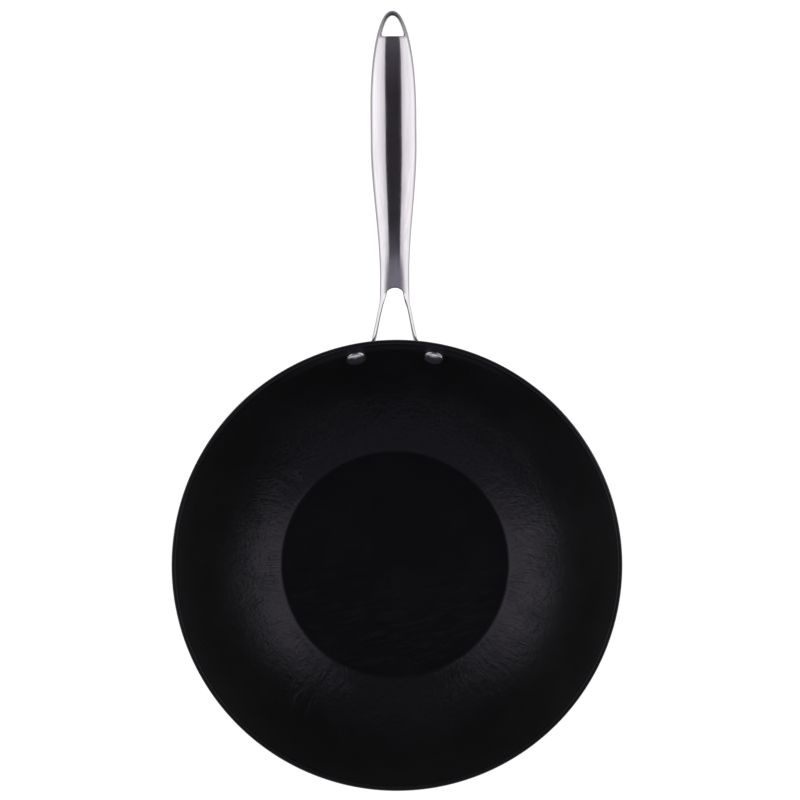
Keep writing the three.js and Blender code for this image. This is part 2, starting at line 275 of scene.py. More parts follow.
class BowlForm:
    """Section of the bowl's sheet: flat base, small bend, and a wall that is one arc up to the rim."""

    # Points of the section along the base, its bend, the wall, the wall beside the bead, and round the bead
    FLAT, BEND, WALL, EASE, BEAD = 8, 7, 57, 14, 17
    # Points of the wall gather towards its foot by a power, and the outside has only every third of them
    GATHER, COARSE = 1.3, 3
    # Wrinkles: waves round the bowl, length of a wave up the wall, and the noise's seed
    SWIRL, LINES, FINE = (18, 30 * MM, 5), (220, 11 * MM, 11), (360, 7 * MM, 12)
    # How many waves the swirl bends them aside, and the share of the fine ones
    SWIRL_REACH, FINE_SHARE = 4.5, 0.5
    # Heights over which the wrinkles set in and fade
    WRINKLES_IN, WRINKLES_OUT = (2 * MM, 6 * MM), (12 * MM, 42 * MM)

    def __init__(self, sizes):
        """Works out the arcs of bend, wall and bead."""
        self.sheet = sizes.sheet
        self.height = sizes.height
        self.start = sizes.wall_start
        self.bend = sizes.base_bend + sizes.sheet / 2
        self.bend_r = sizes.base_radius - sizes.base_bend * math.tan(self.start / 2)
        self.bend_z = sizes.sheet + sizes.base_bend
        foot_r = self.bend_r + self.bend * math.sin(self.start)
        foot_z = self.bend_z - self.bend * math.cos(self.start)
        self.rim_r = sizes.rim_radius - sizes.sheet / 2
        rim_z = sizes.height - sizes.sheet / 2
        chord = math.hypot(self.rim_r - foot_r, rim_z - foot_z)
        lean = math.atan2(rim_z - foot_z, self.rim_r - foot_r)
        self.radius = chord / (2 * math.sin(lean - self.start))
        self.centre_r = foot_r - self.radius * math.sin(self.start)
        self.centre_z = foot_z + self.radius * math.cos(self.start)
        self.bead = sizes.rim_bead / 2
        self.bead_ease = sizes.bead_ease
        bead_r = sizes.rim_radius - self.bead - self.centre_r
        bead_z = self.centre_z - sizes.height + self.bead
        self.bead_radius = math.hypot(bead_r, bead_z)
        self.bead_angle = math.atan2(bead_r, bead_z)

    def reach(self, z, offset):
        """Distance from the axis to a surface that lies an offset outside the middle of the wall."""
        return self.centre_r + np.sqrt((self.radius + offset) ** 2 - (self.centre_z - z) ** 2)

    def arc(self, centre_r, centre_z, radius, angles):
        """Points of an arc by the slope of its tangent, with the outward normal of each."""
        normal = vectors(np.sin(angles), -np.cos(angles))
        return np.array([centre_r, centre_z]) + radius * normal, normal

    def profile(self):
        """Closed section from the middle of the underside, out over the rim and back to the middle inside.

        Returns points (r, z), their normals, and a share that is 1 on the inside of the wall.
        """
        half = self.sheet / 2
        bend = np.linspace(0.0, self.start, self.BEND)
        top = self.bead_angle
        low = top - 2 * self.bead_ease / self.radius
        plain = self.start + (low - self.start) * np.linspace(0.0, 1.0, self.WALL) ** self.GATHER
        wall = np.concatenate([plain, steps(low, top, self.EASE)])
        flat = np.linspace(0.0, self.bend_r, self.FLAT + 1)[:-1]
        down = np.array([0.0, -1.0])
        under = vectors(flat, 0.0), np.tile(down, (flat.size, 1))
        over = vectors(flat, self.sheet), np.tile(-down, (flat.size, 1))
        out_bend = self.arc(self.bend_r, self.bend_z, self.bend + half, bend)
        in_bend = self.arc(self.bend_r, self.bend_z, self.bend - half, bend)
        ease = smoothstep(wall, top - self.bead_ease / self.radius, top)[:, None]
        inner_face = self.radius - half + (self.bead_radius - self.bead - self.radius + half) * ease
        outer_face = self.radius + half + (self.bead_radius + self.bead - self.radius - half) * ease
        in_wall = self.arc(self.centre_r, self.centre_z, inner_face[1:-1], wall[1:-1])
        coarse = slice(1, -1, self.COARSE)
        out_wall = self.arc(self.centre_r, self.centre_z, outer_face[coarse], wall[coarse])
        rim_r = self.centre_r + self.bead_radius * math.sin(top)
        rim_z = self.centre_z - self.bead_radius * math.cos(top)
        rim = self.arc(rim_r, rim_z, self.bead, top + np.linspace(0.0, math.pi, self.BEAD))
        inner = [(p[::-1], -n[::-1]) for p, n in (in_wall, in_bend, over)]
        parts = [under, out_bend, out_wall, rim, *inner]
        points = np.concatenate([p for p, _ in parts])
        normals = np.concatenate([n for _, n in parts])
        on_wall = np.zeros(len(points))
        first = sum(len(p) for p, _ in parts[:4])
        on_wall[first : first + len(inner[0][0])] = 1.0
        return points, normals, on_wall

    def wrinkles(self, turn, r):
        """Noise that is narrow round the bowl and long up the wall; a slow noise bends its lines aside."""

        def waves(count, up, seed, aside=0.0):
            return smooth_noise(turn * count / (2 * math.pi) + aside, r / up, seed, count)

        swirl = self.SWIRL_REACH * waves(*self.SWIRL)
        return waves(*self.LINES, swirl) + self.FINE_SHARE * waves(*self.FINE, swirl)

    def surface(self, wrinkle_depth):
        """The section turned about the axis, with radial wrinkles raised on the lower wall.

        Each point is (r sin a, r cos a, z), pushed along its normal by the wrinkles, which are strongest just
        above the base and gone half way up.
        """
        points, normals, on_wall = self.profile()
        turn = full_turn(BOWL_SEGMENTS)
        r, z = points[:, :1], points[:, 1:]
        fade = on_wall[:, None] * smoothstep(z, *self.WRINKLES_IN) * (1 - smoothstep(z, *self.WRINKLES_OUT))
        push = wrinkle_depth * fade * self.wrinkles(turn, r)
        r = r + push * normals[:, :1]
        z = z + push * normals[:, 1:]
        rings = vectors(r * np.sin(turn), r * np.cos(turn), z)
        return rings, grid_quads(len(points), BOWL_SEGMENTS, wrap=True)


class RivetForm:
    """Place of a rivet on the wall, square to it, and the section of its head, shank and tail."""

    # Points of the section along the dome, its shoulder and the tail
    DOME, SHOULDER, TAIL = 18, 8, 12

    def __init__(self, sizes, bowl, handle_sheet):
        """Works out the rivet's place, turn and tilt."""
        self.sizes = sizes
        self.bowl = bowl
        self.z = bowl.height - sizes.below_rim
        self.reach = float(bowl.reach(self.z, 0.0))
        self.turn = math.asin(sizes.spacing / 2 / self.reach)
        self.tilt = math.acos((bowl.centre_z - self.z) / bowl.radius)
        self.outside = bowl.sheet / 2 + sizes.ear_gap + handle_sheet

    def head(self):
        """Section (radius, place along the axis) of the head: low dome, rounded shoulder, straight edge.

        The dome's slope grows with a power of the distance from the axis, which makes a blunt, struck head.
        """
        s = self.sizes
        wall = -self.bowl.sheet / 2
        slope = s.head_slope
        meet = s.head / 2 - s.head_round * (1 - math.sin(slope))
        out = np.linspace(0.0, 1.0, self.DOME)
        fall = np.tan(slope * out**s.dome_power) * meet
        drop = np.concatenate([[0.0], np.cumsum((fall[1:] + fall[:-1]) / 2 * np.diff(out))])
        edge = s.head_round * math.cos(slope) + s.head_edge
        cap = vectors(meet * out, wall - edge - drop[-1] + drop)
        turn = steps(slope, math.pi / 2, self.SHOULDER)
        middle = np.array([s.head / 2 - s.head_round, cap[-1, 1] + s.head_round * math.cos(slope)])
        shoulder = middle + s.head_round * vectors(np.sin(turn), -np.cos(turn))
        under = wall + s.head_sink
        return np.concatenate([cap, shoulder, [[s.head / 2, under], [s.shank / 2, under]]])

    def tail(self):
        """Section of the shank's outer end and of the upset tail, which is rounded as a quarter circle."""
        s = self.sizes
        turn = np.linspace(0.0, math.pi / 2, self.TAIL)
        flat = s.tail / 2 - s.tail_height
        rounded = vectors(flat + s.tail_height * np.cos(turn), self.outside + s.tail_height * np.sin(turn))
        return np.concatenate([[[s.shank / 2, self.outside]], rounded, [[0.0, self.outside + s.tail_height]]])

    def surface(self, hand):
        """The section turned about the rivet's axis, which is square to the wall; hand is -1 or 1."""
        profile = np.concatenate([self.head(), self.tail()])
        turn = full_turn(RIVET_SEGMENTS)
        radius, along = profile[:, :1], profile[:, 1:]
        swing = hand * self.turn
        round_bowl = np.array([math.sin(swing), math.cos(swing), 0.0])
        outward = math.sin(self.tilt) * round_bowl - [0.0, 0.0, math.cos(self.tilt)]
        level = np.array([math.cos(swing), -math.sin(swing), 0.0])
        rise = np.cross(outward, level)
        place = self.reach * round_bowl + [0.0, 0.0, self.z]
        aside = (radius * np.cos(turn))[..., None] * level + (radius * np.sin(turn))[..., None] * rise
        return place + along[..., None] * outward + aside, grid_quads(len(profile), RIVET_SEGMENTS, wrap=True)


class HandleForm:
    """The handle as one bent sheet, given by its outer face: crown, flanks, turned-in lips, legs and ears."""

    # Lines across the sheet: round the hang hole's loop, corner and bottom, down the end, the middle and its
    # last stretch before the arch, beside the arch and along the leg
    LOOP, CORNER, BOTTOM, END, MIDDLE, LAST, ARCH, LEG = 44, 12, 18, 43, 99, 4, 24, 27
    LAST_LENGTH = 2.5 * MM
    # Lines down the straight leg, round its bend and along the ear
    STRAIGHT, BEND, EAR = 17, 14, 29
    # How far below the hang hole the lines from its corner and from its middle meet the outline
    FAN = (3 * MM, 7 * MM)
    # The crown is pressed flatter from before the arch to past it, and turns steep over a stretch of the legs
    PRESS, STEEP = (8 * MM, 22 * MM), 6.5 * MM
    # The fork's inner edge across the crown: at the arch, further out along a leg, and its growth per metre
    ARCH_SHARE, LEG_SHARE, LEG_GROWTH = 0.6, 0.19, 3.5
    LEG_SHARE_EASE = 4.5 * MM
    # The lips run out past the neck's start, and narrow to the loop between two places before the tip
    LIP_END, LIP_NARROWS = 4 * MM, (34 * MM, 16 * MM)
    # An arc of the crown is this much longer than its chord
    BULGE = 1.12
    # Where the rougher flank with its painted shade begins across the crown, and by how much later at the
    # fork
    DULL_FROM, DULL_LATER, DULL_FORK = (0.90, 0.955), 0.03, (8 * MM, 4 * MM)
    # Dullness of the loop and what it gains to the tip, each with two places before the tip
    LOOP_DULL, TIP_DULL = (0.8, 20 * MM, 17 * MM), (0.6, 12 * MM, 3 * MM)
    # Lines over which the sheet thickens from the loop, thins to the arch, and thickens to the ear
    THICK_LOOP, THIN_ARCH, THICK_EAR = 24, 30, 6
    THIN_ACROSS = 0.3
    # The fork's edge stands out less than the others: its share, with full height at the arch and at the ear
    FORK_STAND, ARCH_STAND, EAR_STAND = 0.55, (8, 24), 30
    # Darkness of the fork's cut edge, a painted shade of the sheet's inner side, and the powers by which
    # dullness changes round an edge
    FORK_DARK, FORK_POWER, EDGE_POWER = 1.9, 0.35, 1.5

    def __init__(self, sizes, rivets, bowl):
        """Works out the places along the handle and the fall of its crown."""
        s = self.sizes = sizes
        self.bowl = bowl
        self.rivets = rivets
        self.arch_y = bowl.rim_r + bowl.sheet / 2 + s.fork
        self.spring_y = self.arch_y - s.arch_rise
        self.flare_y = self.arch_y - s.flare_start
        self.leg_y = self.arch_y - s.leg_start
        self.neck_y = self.arch_y + s.neck
        self.grip_y = self.neck_y + s.taper
        self.end_y = self.grip_y + s.grip
        self.tip_y = HANDLE_HIGH.y
        self.end_length = self.tip_y - self.end_y
        self.crest_y = self.tip_y - s.crest_before_tip
        self.crest_z = HANDLE_HIGH.z
        self.leg_drop = (s.flank_depth - s.leg_shoulder) / 2
        self.ear_offset = rivets.outside - s.sheet / 2
        ear_y = float(bowl.reach(rivets.z, self.ear_offset))
        at_ear = rivets.z + self.leg_drop + s.crown_ratio * float(self.body_half(np.array(ear_y)))
        self.fall = (self.crest_z - at_ear) / (self.crest_y - ear_y) ** 2

    def body_half(self, y):
        """Half the width before the rounded end: flared legs, straight neck, swelling grip."""
        s = self.sizes
        swell = smoothstep(y, self.neck_y, self.grip_y)
        behind = self.flare_y - y
        flare = (behind + np.hypot(behind, s.flare_ease)) / 2 * math.tan(s.flare_angle)
        return (s.neck_width + (s.grip_width - s.neck_width) * swell) / 2 + flare

    def flank_top(self, y):
        """Height where the crown meets the flanks: a parabola less the crown's rise."""
        crown = self.crest_z - self.fall * (self.crest_y - y) ** 2
        return crown - self.sizes.crown_ratio * self.body_half(y)

    def rise(self, y):
        """Rise of the crown above the flanks, pressed flatter at the arch and steeper along the legs."""
        s = self.sizes
        before, past = self.PRESS
        flatter = 1 - smoothstep(y, self.arch_y - before, self.arch_y + past)
        steeper = 1 - smoothstep(y, self.spring_y - self.STEEP, self.spring_y)
        ratio = s.crown_ratio + (s.arch_ratio - s.crown_ratio) * flatter
        ratio = ratio + (s.leg_ratio - s.arch_ratio) * steeper
        return ratio * self.body_half(y)

    def edge_share(self, y):
        """Where the fork's inner edge lies across the crown: least at the arch, more along a leg."""
        along = np.clip(self.spring_y - y, 0.0, None)
        further = 1 - np.exp(-((along / self.LEG_SHARE_EASE) ** 2))
        return self.ARCH_SHARE + self.LEG_SHARE * further + self.LEG_GROWTH * along

    def shoulder(self, y):
        """How far the flanks' top is moved along the legs, so that their upper edge runs evenly."""
        along = 1 - smoothstep(y, self.leg_y, self.spring_y)
        arch_edge = self.rise(np.array(self.spring_y)) * math.sqrt(1 - self.ARCH_SHARE**2)
        edge = arch_edge + (self.sizes.leg_shoulder - arch_edge) * along
        crown = self.rise(y) * np.sqrt(np.clip(1 - self.edge_share(y) ** 2, 0.0, 1.0))
        return np.where(y < self.spring_y, edge - crown, 0.0)

    def crown_share(self, x, y):
        """0 on the crown's middle line and 1 on the outline, by the rounded end's own exponent."""
        p = self.sizes.end_roundness
        t = np.clip((y - self.end_y) / self.end_length, 0.0, None)
        return (t**p + np.abs(x / self.body_half(y)) ** p) ** (1 / p)

    def crown_height(self, x, y):
        """Height of the crown over a plan point: flank top + rise * sqrt(1 - share squared)."""
        round_off = np.sqrt(np.clip(1 - self.crown_share(x, y) ** 2, 0.0, 1.0))
        return self.flank_top(y) + self.shoulder(y) + self.rise(y) * round_off

    def before_tip(self, y, start, stop):
        """Eases from 0 to 1 between two places before the tip."""
        return smoothstep(y, self.tip_y - start, self.tip_y - stop)

    def outline(self, turn, inset=0.0, tip_inset=0.0):
        """Points of the rounded end at a turn from 0 at the grip to a right angle at the tip.

        It is a half of a superellipse, drawn in by an inset at its sides and by another one at its tip.
        """
        p = self.sizes.end_roundness
        x = (self.sizes.grip_width / 2 - inset) * np.cos(turn) ** (2 / p)
        y = self.end_y + (self.end_length - tip_inset) * np.sin(turn) ** (2 / p)
        return vectors(x, y)

    def outline_turn(self, y, tip_inset=0.0):
        """The turn at which the outline reaches a place along the handle."""
        along = (y - self.end_y) / (self.end_length - tip_inset)
        return np.arcsin(along ** (self.sizes.end_roundness / 2))

    def hole_lines(self):
        """Inner and outer ends of the lines round the hang hole.

        Its loop is the outline drawn in, its lower corner is a parabola and its bottom edge is straight.
        """
        s = self.sizes
        wall, tip_wall = s.hole_wall + s.edge_round, s.hole_tip + s.edge_round
        low_y = self.tip_y - tip_wall - s.hole_length
        loop = np.linspace(math.pi / 2, self.outline_turn(low_y + s.hole_corner, tip_wall), self.LOOP)
        loop_in, loop_out = self.outline(loop, wall, tip_wall), self.outline(loop)
        side = loop_in[-1, 0]
        q = steps(0.0, 1.0, self.CORNER)
        corner_in = vectors(side - s.hole_corner * q**2, low_y + s.hole_corner * (1 - q) ** 2)
        bottom_in = vectors(steps(side - s.hole_corner, 0.0, self.BOTTOM), low_y)
        count = self.CORNER + self.BOTTOM
        stops = [loop_out[-1, 1], low_y - self.FAN[0], low_y - self.FAN[1]]
        fan_y = np.interp(np.arange(count) + 1, [0, self.CORNER, count], stops)
        fan_out = self.outline(self.outline_turn(fan_y))
        return np.concatenate([loop_in, corner_in, bottom_in]), np.concatenate([loop_out, fan_out])

    def plan_lines(self):
        """Inner and outer ends of the lines that cross the right half of the sheet, from the tip to the legs.

        Returns two arrays of (x, y): round the hang hole, down the middle line, round the arch, down the leg.
        """
        hole_in, hole_out = self.hole_lines()
        low_y, fan_y = hole_in[-1, 1], hole_out[-1, 1]
        end_out = self.outline(steps(self.outline_turn(fan_y), 0.0, self.END))
        end_y = self.end_y + (low_y - self.end_y) * (end_out[:, 1] - self.end_y) / (fan_y - self.end_y)
        last_y = self.arch_y + self.LAST_LENGTH
        last = steps(last_y, self.arch_y, self.LAST)
        middle_y = np.concatenate([steps(self.end_y, last_y, self.MIDDLE), last])
        turn = steps(math.pi / 2, 0.0, self.ARCH)
        arch_y = self.spring_y + self.sizes.arch_rise * np.sin(turn)
        arch_x = self.body_half(arch_y) * self.edge_share(arch_y) * np.cos(turn)
        beside_y = steps(self.arch_y, self.spring_y, self.ARCH)
        leg_y = steps(self.spring_y, self.leg_y, self.LEG)
        leg_x = self.body_half(leg_y)
        inner = [hole_in, vectors(0.0, end_y), vectors(0.0, middle_y)]
        inner += [vectors(arch_x, arch_y), vectors(leg_x * self.edge_share(leg_y), leg_y)]
        outer = [hole_out, end_out, vectors(self.body_half(middle_y), middle_y)]
        outer += [vectors(self.body_half(beside_y), beside_y), vectors(leg_x, leg_y)]
        self.hole_rows = len(hole_in)
        self.arch_row = sum(len(part) for part in inner[:3])
        return np.concatenate(inner), np.concatenate(outer)

    def sheet_lines(self, across):
        """Outer face of crown, flank and lip: a point (x, y, z) for each line and each share across it.

        The flank drops straight from the outline, and the lip turns in by a quarter circle and runs level.
        Shares are spread by length along the line.
        """
        s = self.sizes
        inner, outer = self.plan_lines()
        share_in = np.clip(self.crown_share(inner[:, 0], inner[:, 1]), 0.0, 1.0)[:, None]
        y_out = outer[:, 1:]
        forward = unit(np.gradient(outer, axis=0))
        inward = vectors(forward[:, 1], -forward[:, 0])
        inward[0] = (0.0, -1.0)
        keep = smoothstep(y_out, self.leg_y, self.neck_y + self.LIP_END)
        loop = self.before_tip(y_out, *self.LIP_NARROWS)
        lip_radius = keep * (s.lip_radius + (s.loop_lip - s.lip_radius) * loop)
        lip_flat = keep * (s.lip_reach - s.lip_radius) * (1 - loop)
        side_z = self.flank_top(y_out) + self.shoulder(y_out)
        edge_z = self.crown_height(inner[:, :1], inner[:, 1:])
        chord = np.hypot(np.linalg.norm(outer - inner, axis=1)[:, None], edge_z - side_z)
        crown_length = self.BULGE * chord
        flank_length = s.flank_depth - lip_radius + self.shoulder(y_out)
        turn_length = lip_radius * math.pi / 2
        d = across[None, :] * (crown_length + flank_length + turn_length + lip_flat)
        tiny = 1e-9
        crown = np.clip(d / (crown_length + tiny), 0.0, 1.0)
        flank = np.clip(d - crown_length, 0.0, flank_length)
        turn = np.clip((d - crown_length - flank_length) / (lip_radius + tiny), 0.0, math.pi / 2)
        level = np.clip(d - crown_length - flank_length - turn_length, 0.0, None)
        start = np.arcsin(share_in)
        swing = start + (math.pi / 2 - start) * crown
        part = (np.sin(swing) - share_in) / np.maximum(1 - share_in, tiny)
        part = np.where(share_in < 1 - 1e-6, part, 1.0)
        plan = inner[:, None, :] + (outer - inner)[:, None, :] * part[..., None]
        z = np.where(crown < 1.0, self.crown_height(plan[..., 0], plan[..., 1]), side_z)
        draw_in = lip_radius * (1 - np.cos(turn)) + level
        plan = plan + draw_in[..., None] * inward[:, None, :]
        z = z - flank - lip_radius * np.sin(turn) + self.settle(plan[..., 1], (1 - 2 * across)[None, :])
        return vectors(plan[..., 0], plan[..., 1], z)

    def ear_height(self, level):
        """Height of a level of the ear: -1 at its lower edge, 0 at the rivet, 1 at its upper edge."""
        s = self.sizes
        return self.rivets.z + level * np.where(level > 0, s.ear_rise, s.ear_drop)

    def leg_height(self, y, level):
        """Height of the same level of a leg before it comes down to its ear."""
        s = self.sizes
        return self.flank_top(y) - self.leg_drop + level * (s.flank_depth + s.leg_shoulder) / 2

    def leg_run(self, level):
        """The straight leg in plan: its start, its way ahead and aside, its length and its bend's middle."""
        s = self.sizes
        flare = s.flare_angle
        reach = self.bowl.reach(self.ear_height(level), self.ear_offset)
        ahead = np.array([math.sin(flare), -math.cos(flare)])
        aside = np.array([math.cos(flare), math.sin(flare)])
        start = np.array([(s.neck_width - s.sheet) / 2, self.flare_y])
        shifted = start + s.leg_bend * aside
        run = shifted @ ahead
        straight = -run - np.sqrt(run**2 - shifted @ shifted + (reach + s.leg_bend) ** 2)
        return start, ahead, aside, straight, shifted + straight[..., None] * ahead

    def settle(self, y, level):
        """Change of height that brings the end of a leg from the flank's level to its ear's."""
        start, ahead, _, straight, _ = self.leg_run(level)
        bend_y = start[1] + straight * ahead[1]
        drop = self.ear_height(level) - self.leg_height(y, level)
        return drop * (1 - smoothstep(y, bend_y, bend_y + self.sizes.leg_ease))

    def leg_lines(self, across):
        """Middle of the right leg's and ear's sheet: a straight leg, an outward bend, an arc along the wall.

        Levels run from 1 at the upper edge to -1 at the lower one. Past the rivet the ear's height shrinks as
        a half circle, and along the leg its height eases from the flank's level to the ear's.
        """
        s = self.sizes
        level = (1 - 2 * across)[None, :]
        start, ahead, aside, straight, centre = self.leg_run(level)
        first = (self.flare_y - self.leg_y) / math.cos(s.flare_angle)
        line = np.linspace(0.0, 1.0, self.STRAIGHT)[:, None]
        on_leg = start + (first + (straight - first) * line)[..., None] * ahead
        bend_from = math.atan2(-aside[1], -aside[0])
        bend_to = np.arctan2(-centre[..., 1], -centre[..., 0])
        swing = bend_from + (bend_to - bend_from) * steps(0.0, 1.0, self.BEND)[:, None]
        on_bend = centre + s.leg_bend * vectors(np.cos(swing), np.sin(swing))
        plan = np.concatenate([on_leg, on_bend])
        x, y = plan[..., 0], plan[..., 1]
        leg = vectors(x, y, self.leg_height(y, level) + self.settle(y, level))
        self.leg_rows = len(leg)
        wall_turn = np.arctan2(centre[..., 0], centre[..., 1])
        ear_turn = self.rivets.turn + s.ear_drop / self.rivets.reach
        turn = wall_turn + (ear_turn - wall_turn) * np.sin(steps(0.0, math.pi / 2, self.EAR))[:, None]
        past = np.clip((turn - self.rivets.turn) / (ear_turn - self.rivets.turn), 0.0, 1.0)
        z = self.ear_height(level * np.sqrt(1 - past**2))
        reach = self.bowl.reach(z, self.ear_offset)
        return np.concatenate([leg, vectors(reach * np.sin(turn), reach * np.cos(turn), z)])

    def face_normals(self, grid):
        """Normals of a grid of points: along one way of the grid crossed with the other.

        The last line of the grid is a single point and takes the normal beside its middle.
        """
        normal = unit(np.cross(np.gradient(grid, axis=0), np.gradient(grid, axis=1)))
        normal[-1] = normal[-2, grid.shape[1] // 2]
        return normal

    def outer_face(self, across):
        """Outer face of the right half: crown, flank and lip, then the leg and ear, eased into each other."""
        body = self.sheet_lines(across)
        middle = self.leg_lines(across)
        leg = middle + self.sizes.sheet / 2 * self.face_normals(middle)
        fade = 1 - smoothstep(np.arange(len(leg)), 0, self.leg_rows)
        leg = leg + fade[:, None, None] * (body[-1] - leg[0])
        self.body_rows = len(body)
        return np.concatenate([body, leg[1:]])

    def surface(self):
        """Right half of the sheet as outer face, inner face and rounded edges, then its mirror image.

        Returns the points, the quads and the points' dullness.
        """
        across = np.linspace(0.0, 1.0, HANDLE_ACROSS)
        outer = self.outer_face(across)
        normal = self.face_normals(outer)
        rows, columns = outer.shape[:2]
        on_axis = np.zeros((rows, columns), bool)
        on_axis[0] = True
        on_axis[self.hole_rows - 1 : self.arch_row, 0] = True
        outer[on_axis, 0] = 0.0
        normal[on_axis, 0] = 0.0
        normal = unit(normal)
        thick = self.thickness(rows, across)
        dull = self.dullness(outer)
        tangent = unit(np.gradient(outer, axis=0))
        parts = [outer, outer - thick[..., None] * normal]
        finish = [dull, np.ones_like(dull)]
        quads = [grid_quads(rows, columns), grid_quads(rows, columns, rows * columns)[:, ::-1]]
        count = 2 * rows * columns
        stretches = [(0, 0, self.hole_rows), (0, self.arch_row - 1, rows), (columns - 1, 0, rows)]
        for column, first, last in stretches:
            side = 1 if column == 0 else -1
            away = side * np.cross(tangent[:, column], normal[:, column])
            away[-1] = outer[-1, columns // 2] - outer[-3, columns // 2]
            away[on_axis[:, column], 0] = 0.0
            part = slice(first, last)
            fork = column == 0 and first > 0
            edge = outer[part, column], normal[part, column], unit(away)[part], thick[part, column]
            strip, strip_dull = self.edge_strip(*edge, fork)
            parts.append(strip)
            finish.append(np.maximum(strip_dull, dull[part, column, None] * (column > 0)))
            quads.append(grid_quads(last - first, EDGE_STEPS + 1, count)[:, ::side])
            count += strip.shape[0] * strip.shape[1]
        half = np.concatenate([part.reshape(-1, 3) for part in parts])
        faces = np.concatenate(quads)
        dulls = np.concatenate([part.ravel() for part in finish])
        points = np.concatenate([half, half * [-1, 1, 1]])
        return points, np.concatenate([faces, faces[:, ::-1] + len(half)]), np.concatenate([dulls, dulls])

    def thickness(self, rows, across):
        """Thickness of the sheet: thin round the hang hole and along the fork's and the legs' edge."""
        s = self.sizes
        row = np.arange(rows)[:, None]
        loop = 1 - smoothstep(row, self.hole_rows, self.hole_rows + self.THICK_LOOP)
        fork = smoothstep(row, self.arch_row - self.THIN_ARCH, self.arch_row)
        ear = smoothstep(row, self.body_rows + self.THICK_EAR, self.body_rows + self.leg_rows)
        edge = fork * (1 - ear) * (1 - smoothstep(across, 0.0, self.THIN_ACROSS)[None, :])
        return s.sheet + (s.thin_sheet - s.sheet) * loop + (s.fork_edge - s.sheet) * edge

    def dullness(self, outer):
        """1 where the steel is rougher and painted darker as shade: the flanks, the lips and the loop, most
        at the tip.
        """
        x, y = outer[..., 0], outer[..., 1]
        before, past = self.DULL_FORK
        later = self.DULL_LATER * (1 - smoothstep(y, self.flare_y - before, self.arch_y + past))
        flank = smoothstep(self.crown_share(x, y) - later, *self.DULL_FROM)
        loop = sum(much * self.before_tip(y, *places) for much, *places in (self.LOOP_DULL, self.TIP_DULL))
        dull = np.maximum(flank, loop)
        below_crown = np.arange(dull.shape[1]) > dull.shape[1] // 2
        return np.where(below_crown, np.maximum.accumulate(dull, axis=1), dull)

    def edge_strip(self, edge, normal, away, thick, fork):
        """Rounded edge between the faces: half an ellipse, as deep as the sheet and standing out from it.

        Returns its points and their dullness: an edge is bright along its middle, the fork's is dark there as
        painted shade.
        """
        turn = np.linspace(0.0, math.pi, EDGE_STEPS + 1)[None, :]
        half = thick[:, None, None] / 2
        middle = edge[:, None] - half * normal[:, None]
        row = np.arange(len(edge))
        stand_out = np.ones(len(edge))
        dull = np.abs(np.cos(turn)) ** self.EDGE_POWER
        if fork:
            arch = 1 - smoothstep(row, *self.ARCH_STAND)
            ear = smoothstep(row, len(edge) - self.EAR_STAND, len(edge) - 1)
            stand_out = self.FORK_STAND + arch + (1 - self.FORK_STAND) * ear
            dull = self.FORK_DARK * np.abs(np.sin(turn)) ** self.FORK_POWER
        out = self.sizes.edge_round * stand_out[:, None] * np.sin(turn)
        points = middle + half * np.cos(turn)[..., None] * normal[:, None] + out[..., None] * away[:, None]
        return points, np.broadcast_to(dull, points.shape[:2])


def forms(scene):
    """Forms of the bowl and of the rivets by the scene's sizes."""
    bowl = BowlForm(scene.wok_bowl)
    return bowl, RivetForm(scene.wok_rivets, bowl, scene.wok_handle.sheet)


# Finishes


def opaque(tint, strength=1.0):
    """A colour made stronger or weaker, with its fourth number."""
    return tuple(strength * part for part in tint) + (1.0,)


